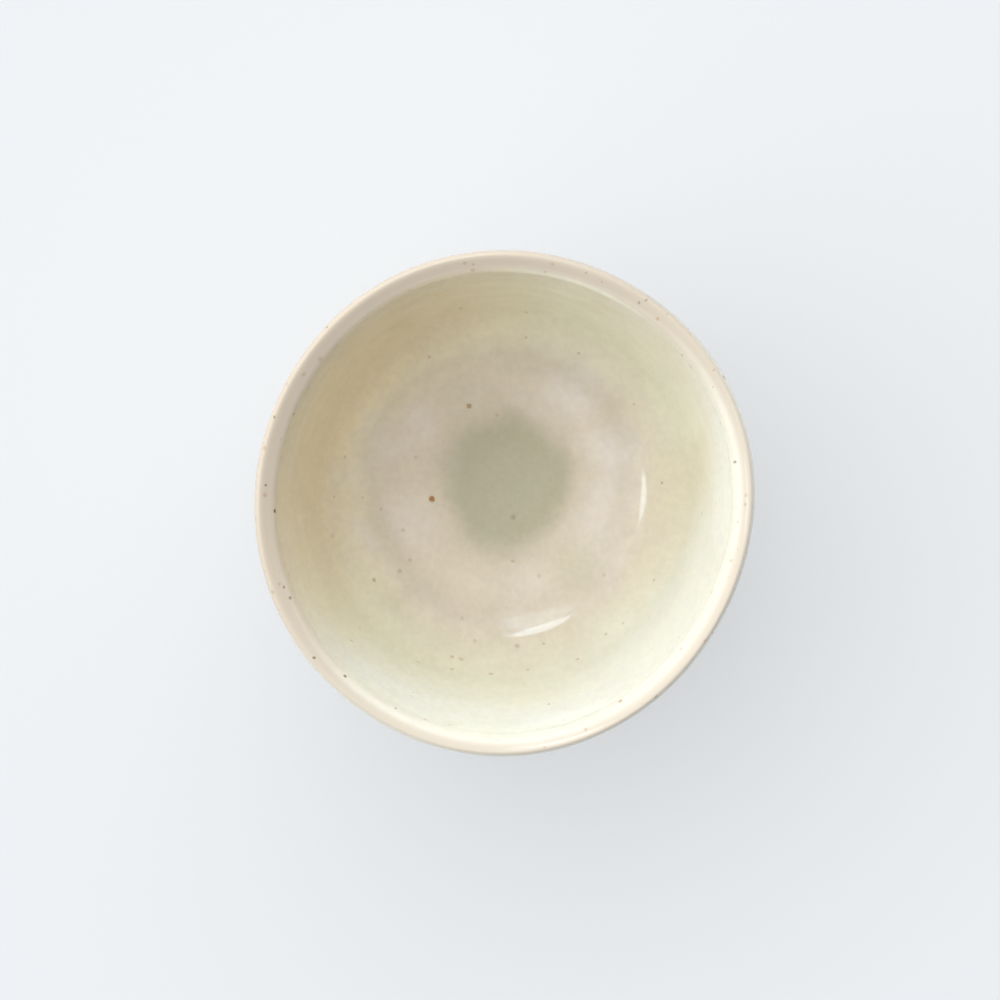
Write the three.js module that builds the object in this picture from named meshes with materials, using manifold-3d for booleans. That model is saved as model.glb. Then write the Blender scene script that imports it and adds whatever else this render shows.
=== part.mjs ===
// Faceted cup: a wheel-thrown stoneware cup without a handle. The round thrown form is cut outside into
// flat leaning facets that stop short of the round lip, a foot ring is luted under the base, and fired
// glaze coats the inside, the lip and the facets, with a pool of glaze in the dish of the floor.
// Millimetres, +Z up. The origin is the middle of the foot, on the table.
import * as THREE from "three";
import { mergeVertices, toCreasedNormals } from "three/addons/utils/BufferGeometryUtils.js";
import Module from "manifold-3d";

const wasm = await Module();
wasm.setup();

// Lip
const CUP_HEIGHT = 74; // table to the top of the lip
const LIP_RADIUS = 44; // axis to the outside of the lip
const LIP_WIDTH = 4; // across the top of the lip
const LIP_ROUND = 3; // how far the crest of the lip stands above its two edges
const LIP_CREST = 0.9; // outside of the lip to its crest, so that it falls more gently inwards

// Inside: a flat floor, a round corner and a straight wall up to the lip
const FLOOR_RADIUS = 21.3; // axis to where the floor starts to curve up
const FLOOR_THICKNESS = 4.5; // underside of the base to the glazed floor
const CORNER_RADIUS = 14; // round between the floor and the wall
const POOL_RADIUS = 12.6; // dish in the floor, filled by the glaze pool
const POOL_DEPTH = 0.9; // depth of that dish
const POOL_RIGHT = 1.1; // axis to the middle of the dish along X
const POOL_BACK = 2.9; // axis to the middle of the dish along Y

// Outside, as thrown: one curve from the lip, drawn in by the shoulder and the heel, to the turned base
const SHOULDER_UPRIGHT = 4.5; // degrees that the outside leaves the lip steeper than the inside wall
const SHOULDER_RISE = 20; // height of the shoulder above the heel
const HEEL_OUT = 6; // how far the heel draws the curve out past the inside corner
const HEEL_RISE = 7; // height of the heel above the base
const BASE_STEP = 1.2; // how far the base stands out past the foot ring
const BASE_EDGE = 0.4; // height of the base's upright edge

// Facets, each one straight cut of a blade
const FACET_COUNT = 12;
const FACET_TAPER = 1.2; // degrees that a facet leans out further than the inside wall
const FACET_STAND = 0.2; // how far a facet's plane passes outside the lip's edge
const FACET_WANDER = 1.6; // degrees that a cut strays from its even place round the cup
const FACET_UNEVEN = 0.2; // how much deeper or shallower a cut strays

// Foot ring
const FOOT_RADIUS = 23.5; // axis to the outside of the ring
const FOOT_WIDTH = 5; // across the ring
const FOOT_HEIGHT = 5.5; // table to the underside of the base
const FOOT_ROUND = 0.8; // round of the two edges that meet the table

// Glaze
const GLAZE_COAT = 0.5; // thickness of the fired coat
const GLAZE_GAP = 0.15; // clearance that keeps each glaze solid apart from its neighbours
const BARE_CLAY = 5; // underside of the base up to the lower edge of the outside glaze

// The lip squeezed out of round by hand: lobes round the lip, how far each swells, and where, in degrees
const LIP_WAVES = [
  { lobes: 2, swell: 0.41, at: 66 },
  { lobes: 3, swell: 0.21, at: 20 },
  { lobes: 4, swell: 0.15, at: 17 },
];

// Fineness of the faceted surfaces
const TURN_STEPS = 48; // steps round the axis
const BEND_STEPS = 4; // steps along a short bend
const CORNER_STEPS = 6; // steps along the round between the floor and the wall
const WALL_STEPS = 4; // steps up the inside wall
const OUTSIDE_STEPS = 11; // steps down the outside curve
const CREASE = 30; // degrees past which an edge is shown sharp
const SAME_PLACE = 0.001; // points closer than this are one point

// Finishes
const CLAY = { color: 0xcdb496, roughness: 0.85, metalness: 0 };
const CREAM_GLAZE = { color: 0xdcd3ba, roughness: 0.22, metalness: 0 };
const LIP_GLAZE = { color: 0xcbbba6, roughness: 0.35, metalness: 0 };
const POOL_GLAZE = { color: 0xb2ad96, roughness: 0.15, metalness: 0 };

const radians = THREE.MathUtils.degToRad;
const lipInner = LIP_RADIUS - LIP_WIDTH;
const lipEdge = CUP_HEIGHT - LIP_ROUND;
const floorHeight = FOOT_HEIGHT + FLOOR_THICKNESS;
const cornerMiddle = new THREE.Vector2(FLOOR_RADIUS, floorHeight + CORNER_RADIUS);
const wallLean = tangentLean(new THREE.Vector2(lipInner, lipEdge).sub(cornerMiddle), CORNER_RADIUS);

// How far from upright a straight line leans that grazes a circle's far side and ends at a place seen from
// the circle's middle
function tangentLean(place, radius) {
  return Math.acos(radius / place.length()) - place.angle();
}

// Points along a path, once each where one of its curves meets the next
function pointsAlong(path, steps) {
  const points = path.getPoints(steps);
  return points.filter((point, index) => index === 0 || point.distanceTo(points[index - 1]) > SAME_PLACE);
}

// Inside skin, from the middle of the floor to the lip's inner edge
function insidePath() {
  const path = new THREE.Path();
  path.moveTo(0, floorHeight);
  path.lineTo(FLOOR_RADIUS, floorHeight);
  path.absarc(cornerMiddle.x, cornerMiddle.y, CORNER_RADIUS, -Math.PI / 2, -wallLean, false);
  const wallFoot = path.currentPoint.clone();
  for (let step = 1; step <= WALL_STEPS; step++) {
    const point = wallFoot.clone().lerp(new THREE.Vector2(lipInner, lipEdge), step / WALL_STEPS);
    path.lineTo(point.x, point.y);
  }
  return pointsAlong(path, CORNER_STEPS);
}

// Top of the lip, from its inner edge over its crest to its outer edge
function lipPath() {
  const path = new THREE.Path();
  const crest = LIP_RADIUS - LIP_CREST;
  path.absellipse(crest, lipEdge, LIP_WIDTH - LIP_CREST, LIP_ROUND, Math.PI, Math.PI / 2, true);
  path.absellipse(crest, lipEdge, LIP_CREST, LIP_ROUND, Math.PI / 2, 0, true);
  return pointsAlong(path, BEND_STEPS);
}

// Outside skin as thrown, from the lip's outer edge down to the edge of the base
function outsidePath() {
  const lip = new THREE.Vector2(LIP_RADIUS, lipEdge);
  const base = new THREE.Vector2(FOOT_RADIUS + BASE_STEP, FOOT_HEIGHT + BASE_EDGE);
  const cornerReach = FLOOR_RADIUS + CORNER_RADIUS * Math.cos(wallLean);
  const heel = new THREE.Vector2(cornerReach + HEEL_OUT, FOOT_HEIGHT + HEEL_RISE);
  const drop = lipEdge - heel.y - SHOULDER_RISE;
  const inward = drop * Math.tan(wallLean - radians(SHOULDER_UPRIGHT));
  const shoulder = new THREE.Vector2(LIP_RADIUS - inward, lipEdge - drop);
  return new THREE.CubicBezierCurve(lip, shoulder, heel, base).getPoints(OUTSIDE_STEPS);
}

// Moves an open line of points towards the clay, which lies on the right of its way, by an even depth
function inset(points, depth) {
  const sides = points.slice(1).map((point, index) => {
    const way = point.clone().sub(points[index]).normalize();
    return new THREE.Vector2(way.y, -way.x);
  });
  return points.map((point, index) => {
    const before = sides[Math.max(index - 1, 0)];
    const after = sides[Math.min(index, sides.length - 1)];
    const mitre = before.clone().add(after).normalize();
    const moved = point.clone().addScaledVector(mitre, depth / mitre.dot(before));
    return point.x === 0 ? moved.setX(0) : moved;
  });
}

// The finished section, sunk by a depth: its inside, lip and outside stretches, which share their end points
function section(depth) {
  const inside = insidePath();
  const lip = lipPath();
  const outside = outsidePath();
  const line = inset([...inside, ...lip.slice(1), ...outside.slice(1)], depth);
  const lipStart = inside.length - 1;
  const lipEnd = lipStart + lip.length - 1;
  return {
    inside: line.slice(0, lipStart + 1),
    lip: line.slice(lipStart, lipEnd + 1),
    outside: line.slice(lipEnd),
  };
}

// How far the handmade wall stands out of round, growing from the foot up to the lip
function squeeze(angle, height) {
  const waves = LIP_WAVES.map(({ lobes, swell, at }) => swell * Math.cos(lobes * (angle - radians(at))));
  return waves.reduce((sum, wave) => sum + wave) * (height / CUP_HEIGHT) ** 2;
}

// An uneven run of values from -1 to 1, for the strokes of a hand
const wander = (stroke) => Math.sin(stroke * stroke);

// A three.js geometry as a solid for joining and cutting
function solidOf(geometry) {
  geometry.deleteAttribute("normal");
  geometry.deleteAttribute("uv");
  const merged = mergeVertices(geometry, SAME_PLACE);
  const vertProperties = merged.getAttribute("position").array;
  const triVerts = new Uint32Array(merged.index.array);
  return new wasm.Manifold(new wasm.Mesh({ numProp: 3, vertProperties, triVerts }));
}

// An outline of radius and height turned round the axis and squeezed out of round
function turned(outline) {
  const geometry = new THREE.LatheGeometry(outline, TURN_STEPS).rotateX(Math.PI / 2);
  const places = geometry.getAttribute("position");
  for (let i = 0; i < places.count; i++) {
    const [x, y, z] = [places.getX(i), places.getY(i), places.getZ(i)];
    const grown = 1 + squeeze(Math.atan2(y, x), z) / LIP_RADIUS;
    places.setXY(i, x * grown, y * grown);
  }
  return solidOf(geometry);
}

// The clay that one stroke of the blade takes away, for a surface sunk by a depth below the finished one
function facetCut(stroke, depth) {
  const angle = radians((360 / FACET_COUNT) * stroke + FACET_WANDER * wander(stroke));
  const reach = LIP_RADIUS + FACET_STAND + squeeze(angle, lipEdge) + FACET_UNEVEN * wander(stroke + FACET_COUNT);
  const slab = new THREE.BoxGeometry(LIP_RADIUS, 2 * LIP_RADIUS, 3 * CUP_HEIGHT);
  slab.translate(LIP_RADIUS / 2 - depth, 0, 0);
  slab.rotateY(wallLean + radians(FACET_TAPER));
  slab.translate(reach, 0, lipEdge);
  slab.rotateZ(angle);
  return solidOf(slab);
}

// A thrown form with every stroke taken away
function faceted(solid, depth) {
  let cut = solid;
  for (let stroke = 0; stroke < FACET_COUNT; stroke++) cut = cut.subtract(facetCut(stroke, depth));
  return cut;
}

// Everything below the floor's level in its dish, for a dish sunk by a depth below the glazed one
function bowl(depth) {
  const deep = POOL_DEPTH + depth;
  const wide = POOL_RADIUS * Math.sqrt(deep / POOL_DEPTH);
  const path = new THREE.Path();
  path.moveTo(0, floorHeight - deep);
  path.quadraticCurveTo(wide / 2, floorHeight - deep, wide, floorHeight);
  path.lineTo(0, floorHeight);
  return turned(pointsAlong(path, BEND_STEPS)).translate(POOL_RIGHT, POOL_BACK, 0);
}

// The clay cup: floor, wall and lip in one, faceted outside, with a flat underside for the foot ring
function clayBody() {
  const depth = GLAZE_COAT + GLAZE_GAP;
  const { inside, lip, outside } = section(depth);
  const edge = outside.at(-1);
  const underside = [new THREE.Vector2(edge.x, FOOT_HEIGHT), new THREE.Vector2(0, FOOT_HEIGHT)];
  const thrown = turned([...inside, ...lip.slice(1), ...outside.slice(1), ...underside].reverse());
  return faceted(thrown, depth).subtract(bowl(depth));
}

// The ring that the cup stands on, flat on the base above it and on the table below it
function footRing() {
  const inner = FOOT_RADIUS - FOOT_WIDTH;
  const path = new THREE.Path();
  path.absarc(inner + FOOT_ROUND, FOOT_ROUND, FOOT_ROUND, Math.PI, 1.5 * Math.PI, false);
  path.absarc(FOOT_RADIUS - FOOT_ROUND, FOOT_ROUND, FOOT_ROUND, -Math.PI / 2, 0, false);
  path.lineTo(FOOT_RADIUS, FOOT_HEIGHT);
  path.lineTo(inner, FOOT_HEIGHT);
  path.closePath();
  return turned(pointsAlong(path, BEND_STEPS / 2));
}

// The coat poured inside, from the floor up to just below the lip
function linerGlaze() {
  const [face, back] = [section(0).inside, section(GLAZE_COAT).inside];
  for (const side of [face, back]) {
    const [below, edge] = side.slice(-2);
    edge.lerp(below, GLAZE_GAP / edge.distanceTo(below));
  }
  const coat = turned([...back, ...face.reverse()]);
  return coat.add(bowl(GLAZE_COAT)).subtract(bowl(0));
}

// The lens of glaze that ran together in the dish of the floor and set level with it
function glazePool() {
  return bowl(-GLAZE_GAP);
}

// The thin band over the lip, between the inside and the outside coats
function lipGlaze() {
  const [face, back] = [section(0).lip, section(GLAZE_COAT).lip];
  return turned([...back, ...face.reverse(), back[0]]);
}

// Everything inside the outside skin sunk by a depth, as thrown and faceted
function outsideForm(depth) {
  const { outside } = section(depth);
  const base = new THREE.Vector2(0, outside.at(-1).y);
  const top = [new THREE.Vector2(outside[0].x, CUP_HEIGHT), new THREE.Vector2(0, CUP_HEIGHT)];
  return faceted(turned([base, ...outside.reverse(), ...top]), depth);
}

// The coat on the facets, from just below the lip down to the glaze line
function outerGlaze() {
  const glazeLine = FOOT_HEIGHT + BARE_CLAY;
  const height = lipEdge - GLAZE_GAP - glazeLine;
  const band = new THREE.BoxGeometry(3 * LIP_RADIUS, 3 * LIP_RADIUS, height);
  band.translate(0, 0, glazeLine + height / 2);
  return outsideForm(0).subtract(outsideForm(GLAZE_COAT)).intersect(solidOf(band));
}

// A named piece of the cup with its finish
function piece(name, solid, finish) {
  const { vertProperties, triVerts } = solid.getMesh();
  const geometry = new THREE.BufferGeometry();
  geometry.setAttribute("position", new THREE.BufferAttribute(vertProperties, 3));
  geometry.setIndex(new THREE.BufferAttribute(triVerts, 1));
  const mesh = new THREE.Mesh(
    toCreasedNormals(geometry, radians(CREASE)),
    new THREE.MeshStandardMaterial(finish),
  );
  mesh.name = name;
  return mesh;
}

const cup = new THREE.Group();
cup.name = "faceted_cup";
cup.add(
  piece("foot_ring", footRing(), CLAY),
  piece("clay_body", clayBody(), CLAY),
  piece("liner_glaze", linerGlaze(), CREAM_GLAZE),
  piece("glaze_pool", glazePool(), POOL_GLAZE),
  piece("lip_glaze", lipGlaze(), LIP_GLAZE),
  piece("outer_glaze", outerGlaze(), CREAM_GLAZE),
);

export default cup;
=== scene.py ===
"""A faceted stoneware cup, thrown, squeezed, cut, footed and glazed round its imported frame."""

import math

import bmesh
import bpy
from bpy.props import FloatProperty, FloatVectorProperty, IntProperty, PointerProperty
from bpy.types import NodeSocket, Operator, Panel, PropertyGroup
from mathutils import Matrix, Vector
from mathutils.geometry import interpolate_bezier


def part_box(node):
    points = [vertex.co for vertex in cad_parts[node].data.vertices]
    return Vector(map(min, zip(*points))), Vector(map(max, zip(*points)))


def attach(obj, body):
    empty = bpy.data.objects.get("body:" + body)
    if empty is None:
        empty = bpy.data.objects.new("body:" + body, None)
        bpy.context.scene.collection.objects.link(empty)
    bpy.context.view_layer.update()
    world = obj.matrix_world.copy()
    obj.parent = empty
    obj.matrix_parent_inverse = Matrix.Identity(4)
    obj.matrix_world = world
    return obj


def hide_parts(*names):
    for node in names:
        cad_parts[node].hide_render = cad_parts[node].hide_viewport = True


bl_info = {
    "name": "Faceted Cup",
    "version": (1, 0, 0),
    "blender": (4, 5, 0),
    "location": "3D View > Sidebar > Cup",
    "description": "Throws, facets, foots and glazes a handmade stoneware cup",
    "category": "Add Mesh",
}

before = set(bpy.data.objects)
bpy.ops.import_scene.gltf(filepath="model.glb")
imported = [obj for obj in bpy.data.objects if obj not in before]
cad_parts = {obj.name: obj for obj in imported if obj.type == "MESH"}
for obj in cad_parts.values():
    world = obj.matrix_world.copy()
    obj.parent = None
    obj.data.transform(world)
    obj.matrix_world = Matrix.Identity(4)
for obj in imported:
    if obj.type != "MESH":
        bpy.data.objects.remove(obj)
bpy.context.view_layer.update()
BODY = "root"

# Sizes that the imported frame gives
FOOT_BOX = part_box("foot_ring")
POOL_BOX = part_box("glaze_pool")
LIP_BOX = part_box("lip_glaze")
FACET_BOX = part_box("outer_glaze")

# The lip isn't quite round: lobes round it, swell in metres, and angle of a lobe
LIP_SWELLS = (
    (2, 0.00041, math.radians(66)),
    (3, 0.00021, math.radians(20)),
    (4, 0.00015, math.radians(17)),
)

# How the outlines are pulled into their bends, as shares of the sizes that they go with
CORNER_PULL = 0.45
WALL_STAND = 0.4
LIP_ROLL = 0.8
CREST_PULL = 0.6
EDGE_PULL = 0.5

# How finely each stretch of a form is drawn, how near two points are one, and which edges stay sharp
TURN_STEPS = 288
CLAY_TURN_STEPS = 144
FLOOR_STEPS = 26
CORNER_STEPS = 30
WALL_STEPS = 64
LIP_STEPS = 9
OUTSIDE_STEPS = 84
BEND_STEPS = 6
ROLL_STEPS = 3
START_SIZE = 0.01
SAME_PLACE = 1e-6
SHARP_ANGLE = math.radians(40)

# The lattice that squeezes the cup: its size against the cup's, and its points along each axis
CAGE_WIDTH = 2.4
CAGE_HEIGHT = 1.1
CAGE_POINTS = (9, 9, 5)

# The hand's unevenness, as a cloud texture over the clay and the coats that follow it
UNEVEN_SCALE = 0.02
UNEVEN_DEPTH = 0.0002
UNEVEN_DETAIL = 1

# Soft ridges between the facets, and what stays unsmoothed by the lip, the base and the inside
FACET_PASSES = 2
RIDGE_SMOOTHING = 0.5
RIDGE_ROUNDS = 3
RIDGE_WIDTH = 0.0008
RIDGE_NEAR = 0.0001
RIDGE_FAR = 0.0006
SEAM_KEPT = 0.0065
BASE_KEPT = 0.001625
SKIN_COATS = 4

# Throwing rings under the glaze, which fade out up the wall, and the glaze's own ripple
RING_SPACING = 0.006
RING_WANDER_CLOUD = 0.02
RING_WANDER = 5.0
RING_FADE = (0.03, 0.016)
PEEL_CLOUD = 0.0022
GLAZE_RELIEF = 0.00001

# A finger's groove round the floor, darker olive from thicker glaze and painted shade, and the ridges
# beside it, lighter as painted highlights
RING_MIDDLE = (-0.0013, 0.0024, 0.0)
GROOVE_RADIUS = 0.0245
GROOVE_WIDTH = 0.0028
ARC_CLOUD = 0.011

# The groove, then the ridges: place in groove widths, share, and the noise where an arc starts and is full
THROWING_MARKS = (
    (0.0, 0.34, 0.3, 0.52),
    (1.5, 0.05, 0.6, 0.4),
    (-1.6, 0.04, 0.6, 0.4),
)

# Noise is read at places that are pressed flat, so that clouds run down the wall as the glaze did
RUN_LENGTHS = (1.0, 1.0, 0.3)

# Clouds that shake the borders of the glaze's colours: size, detail and reach
STRAYS = (
    (0.016, 3.0, (0.006, 0.006, 0.02)),
    (0.004, 2.0, (0.0018, 0.0018, 0.0)),
)

# Sides of the cup where the glaze is straw, pale or thin, and how a colour comes in across its side; straw
# away from the light is partly painted shade, and pale facing it partly painted light
STRAW_WAY = math.radians(150)
STRAW_SIDE = (0.003, 0.035)
STRAW_OUT = (0.021, 0.033)
STRAW_SHARE = 0.9
PALE_WAY = math.radians(297)
PALE_SIDE = (-0.002, 0.024)
PALE_LEAN = 0.5
THIN_WAY = math.radians(130)
THIN_SIDE = (-0.02, 0.028)

# Painted shade that makes the glaze a little darker high on the wall that faces the light: across to the
# light, and up
GLARE_WAY = math.radians(313)
GLARE_SIDE = (0.026, 0.035)
GLARE_RISE = (0.04, 0.058, 0.0, 0.08)

# Where the wall's colours start and are full, as shares of sizes, with pale, partly painted light, from
# just over the floor
WALL_START = 1.1
WALL_FULL = 0.84
PALE_LEVEL = 0.6
PALE_START = 0.001
PALE_FULL = 0.39

# Where lime, partly painted light, comes in and fades up the wall, across from straw to pale, and under the
# lip
LIME_RISE = (0.014, 0.025)
LIME_FADE = (0.055, 0.034)
LIME_SIDE = (0.02, -0.04)
LIME_END = (-0.02, -0.036, 1.0, 0.1)
LIME_TOP = (0.06, 0.0715, 0.0, 0.4)

# The pool's colour: its stray from the pool's middle, its oval, and its borders in shares of its radius
POOL_STRAY = (-0.0003, -0.0012)
POOL_OVAL = (1.04, 0.96, 1.0)
FRINGE_START = 1.5
FRINGE_SHARE = 0.55
POOL_BORDER = (1.2, 0.75)
POOL_RIM = (0.35, 0.8)

# Clouds in the glaze and the clay: size, the noise where they start and end, and what they go from and to
# Straw clouds show only on the wall away from the light, as partly painted shade
STRAW_CLOUDS = {"size": 0.02, "start": 0.5, "end": 0.7, "high": 0.3}
ROSY_WASH = {"size": 0.013, "start": 0.5, "end": 0.68, "high": 0.5}
POOL_PATCHES = {"size": 0.009, "start": 0.4, "end": 0.65, "high": 0.65}
MOTTLE = {
    "size": 0.0014, "start": 0.3, "end": 0.7, "low": 0.965, "high": 1.025, "detail": 3.0, "roughness": 0.6
}
THIN_PATCHES = {"size": 0.008, "start": 0.3, "end": 0.65, "low": 0.4, "high": 0.9, "detail": 3.0}
UNEVEN_GLOSS = {"size": 0.006, "start": 0.35, "end": 0.7, "low": 0.85, "high": 1.3, "detail": 3.0}
CLAY_CLOUDS = {"size": 0.012, "start": 0.4, "end": 0.7, "high": 0.7, "detail": 4.0}

# Thin glaze over the lip, by how far a place lies over it, with shares for the lit and the dark side; how
# far it reaches by side, and less at the back, is partly painted shade
LIP_BACK = (0.024, 0.042, 0.0, 0.12)
LIP_STEP = (-0.06, 0.14)
LIP_STEP_SHARE = (0.0, 0.5, 0.62, 0.85)
LIP_SLOPE_START = -0.12
LIP_SLOPE_END = (0.0, 1.0, 0.62, 0.26)
LIP_SLOPE_SHARE = (0.0, 1.0, 0.9, 0.95)
LIP_EDGE = (0.78, 1.0)
LIP_EDGE_SHARE = (0.0, 1.0, 0.45, 0.95)
LIP_OUTSIDE = (0.75, 0.9)

# How far down from the lip's seam the facets' glaze is thin
THIN_SHOULDER = 0.012

# Iron specks: spacing, size and the share of places that have one, and how strongly they show
FINE_SPECKS = {"Size": 0.0006, "Share": 0.25}
FINE_STRENGTH = 0.35
COARSE_SPECKS = {"Spacing": 0.009, "Size": 0.0008, "Share": 0.25}
COARSE_STRENGTH = 0.5
GROG = {"Spacing": 0.0024, "Size": 0.0006, "Share": 0.5}
GROG_STRENGTH = 0.7

# Iron spots and soft clouds: the share of their size that is full, and their ragged edge
SPOT_CORE = 0.4
CLOUD_CORE = 0.0
RAGGED_CLOUD = 0.0006
RAGGED_REACH = (0.0005, 0.0005, 0.0005)

# Turned clay: the tool's lines, how they wander, and the grain
LINE_WANDER_CLOUD = 0.01
LINE_WANDER = 0.0012
LINE_SIZE = 0.0009
LINE_SHADE = (0.45, 0.75, 0.0, 0.45)
GRAIN_SIZE = 0.0006
GRAIN_DETAIL = 4.0
GRAIN_ROUGHNESS = 0.7
GRAIN_SHADE = (0.62, 0.75, 0.0, 0.5)
GRAIN_GLOSS = (0.3, 0.7, 0.68, 0.92)
GRAIN_RELIEF = 0.4

# The table, and where each part of the sky starts and is full: across to the light, and up
TABLE_SIZE = 6.0
TABLE_ROUGHNESS = 0.9
SKY_FACING = (-0.56, 0.92)
SKY_RISE = (0.1, 0.42)
SKY_OVERHEAD = (0.8, 0.95)
SKY_HORIZON = (0.0, 0.17)

# A Mix node's sockets for colours, which its names don't tell apart
MIX_FIRST = 6
MIX_SECOND = 7
MIX_RESULT = 2

# Colours of the glaze, as sockets that carry the names of the finish's settings
SHADES = ("Pool", "Pool edge", "Fringe", "Floor", "Blush", "Olive", "Wall", "Pale", "Lime", "Straw")

# The photograph's frame in pixels, and the camera's sensor in millimetres
FRAME_PIXELS = 1000
SENSOR_WIDTH = 36.0

# Iron spots in the inside glaze: pixel across, pixel down, size in metres, strength
RUST_SPOTS = (
    (432, 499, 0.00079, 1.0),
    (469, 406, 0.00065, 0.7),
    (517, 646, 0.00065, 0.3),
    (620, 701, 0.00052, 0.6),
    (400, 571, 0.00059, 0.35),
    (410, 560, 0.00052, 0.31),
    (332, 536, 0.00052, 0.27),
    (513, 561, 0.00052, 0.35),
    (461, 659, 0.00065, 0.31),
    (452, 669, 0.00065, 0.27),
    (418, 662, 0.00052, 0.27),
    (491, 674, 0.00065, 0.31),
    (528, 670, 0.00052, 0.24),
    (606, 634, 0.00052, 0.35),
    (623, 623, 0.00052, 0.27),
    (654, 580, 0.00052, 0.27),
    (539, 576, 0.00052, 0.24),
    (497, 415, 0.00052, 0.27),
    (429, 357, 0.00052, 0.31),
    (416, 457, 0.00052, 0.24),
    (345, 457, 0.00052, 0.27),
    (334, 497, 0.00052, 0.24),
    (381, 509, 0.00052, 0.24),
    (403, 530, 0.00052, 0.27),
    (360, 629, 0.00052, 0.24),
    (462, 618, 0.00052, 0.25),
    (475, 641, 0.00052, 0.25),
    (604, 575, 0.00052, 0.22),
    (374, 580, 0.00062, 0.5),
    (352, 641, 0.00046, 0.8),
)
DARK_SPOTS = (
    (275, 511, 0.00052, 1.0),
    (513, 517, 0.00065, 0.25),
    (314, 658, 0.00039, 0.75),
    (345, 676, 0.00039, 0.75),
    (549, 704, 0.00039, 0.88),
    (290, 598, 0.00039, 0.62),
    (284, 587, 0.00039, 0.62),
    (266, 485, 0.00039, 0.62),
    (274, 417, 0.00039, 0.62),
    (294, 414, 0.00039, 0.5),
    (396, 708, 0.00039, 0.62),
    (639, 303, 0.00039, 0.45),
    (646, 300, 0.00039, 0.45),
    (672, 377, 0.00039, 0.56),
    (682, 355, 0.00039, 0.56),
    (724, 377, 0.00046, 1.0),
    (735, 462, 0.00039, 0.62),
    (722, 468, 0.00039, 0.5),
    (327, 327, 0.00039, 0.62),
    (662, 483, 0.0004, 0.4),
)

# Soft clouds in the floor's glaze, blush and olive, given as the spots are; the blush ones are partly the
# glaze's colour and partly painted soft reflections
ROSY_SHEEN_CLOUDS = (
    (616, 452, 0.0085, 0.95),
    (604, 492, 0.006, 0.6),
    (574, 394, 0.009, 1.0),
    (421, 425, 0.007, 0.6),
    (408, 520, 0.009, 0.5),
    (520, 585, 0.009, 0.5),
)
OLIVE_CLOUDS = (
    (415, 368, 0.011, 0.2),
    (470, 395, 0.01, 0.35),
    (455, 425, 0.006, 0.2),
    (520, 365, 0.009, 0.3),
    (500, 548, 0.006, 0.6),
    (372, 440, 0.008, 0.25),
    (580, 568, 0.011, 0.7),
    (508, 600, 0.011, 0.4),
    (398, 600, 0.007, 0.35),
)


def length(name, description, default):
    """A size in metres."""
    return FloatProperty(name=name, description=description, default=default, unit="LENGTH", precision=5)


def lean(name, description, degrees):
    """An angle, given in degrees."""
    return FloatProperty(name=name, description=description, default=math.radians(degrees), unit="ROTATION")


def lamp_power(name, description, default):
    """The power of a lamp."""
    return FloatProperty(name=name, description=description, default=default, unit="POWER")


def plain(name, description, default):
    """A strength of light, or a plain number."""
    return FloatProperty(name=name, description=description, default=default)


def tint(name, description, default):
    """A linear colour."""
    return FloatVectorProperty(
        name=name, description=description, default=default, subtype="COLOR", size=3, min=0.0, max=1.0
    )


class CupForm(PropertyGroup):
    """Sizes of the cup."""

    height: length("Height", "From the table to the crest of the lip", LIP_BOX[1].z)
    lip_radius: length("Lip radius", "From the axis to the outside of the lip", 0.044)
    lip_width: length("Lip width", "Across the lip, from the inside wall to the outside", 0.004)
    lip_fall: length("Lip fall", "How far the lip's edges lie below its crest", 0.003)
    lip_crest: length("Lip crest", "How far the crest stands in from the outside", 0.0009)
    lip_rise: length("Lip rise", "From the lip's inner edge up to its crest", 0.0014)
    lip_bevel: lean("Lip bevel", "Slope of the lip's top at its inner edge", 27)
    lip_skirt: length("Lip skirt", "How far the lip's thin glaze reaches down both sides", 0.0012)
    floor_radius: length("Floor radius", "Flat part of the inside floor", 0.0213)
    floor_height: length("Floor height", "From the table to the inside floor", POOL_BOX[1].z)
    corner_radius: length("Corner radius", "Bend from the floor to the inside wall", 0.014)
    corner_left: lean("Corner left", "Share of the bend that the lower wall takes over", 18)
    shoulder_upright: lean("Shoulder upright", "How much steeper the outside starts than the inside", 4.5)
    shoulder_rise: length("Shoulder rise", "Height of the outside curve's upper pull over the lower", 0.02)
    heel_out: length("Heel out", "How far the outside curve's lower pull stands off the corner", 0.006)
    heel_rise: length("Heel rise", "Height of the outside curve's lower pull over the foot", 0.007)
    base_step: length("Base step", "How far the base stands out past the foot ring", 0.0012)
    base_edge: length("Base edge", "Rounding of the base's lower edge", 0.0004)
    facet_count: IntProperty(name="Facets", description="Flats cut round the outside", default=12, min=3)
    facet_taper: lean("Facet taper", "How much more a facet leans than the inside wall", 1.2)
    facet_stand: length("Facet stand", "How far a facet's plane stands off the lip", 0.0002)
    facet_wander: lean("Facet wander", "How far the hand's cuts stray round the cup", 1.6)
    facet_uneven: length("Facet unevenness", "How far the hand's cuts stray in depth", 0.0002)
    coat: length("Glaze coat", "Thickness of the glaze", 0.0005)
    clay_gap: length("Clay gap", "Clearance between the glaze and the clay", 0.00015)
    glaze_line: length("Glaze line", "Height where the outside glaze ends", FACET_BOX[0].z)
    glaze_tilt: lean("Glaze tilt", "Tilt of the line that the cup was dipped to", 1.0)
    glaze_roll: length("Glaze roll", "Rounding of the glaze's lower edge", 0.0002)
    pool_radius: length("Pool radius", "Reach of the pooled glaze", 0.0126)
    pool_depth: length("Pool depth", "Depth of the dish that the glaze pooled in", 0.0009)
    pool_level: length("Pool level", "How far the pool's surface lies below the floor", 0.00003)
    foot_radius: length("Foot radius", "Outside of the foot ring", FOOT_BOX[1].x)
    foot_width: length("Foot width", "Across the foot ring", 0.005)
    foot_height: length("Foot height", "From the table to the base", FOOT_BOX[1].z)
    foot_round: length("Foot rounding", "Rounding of the foot ring's edges", 0.0008)


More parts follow.
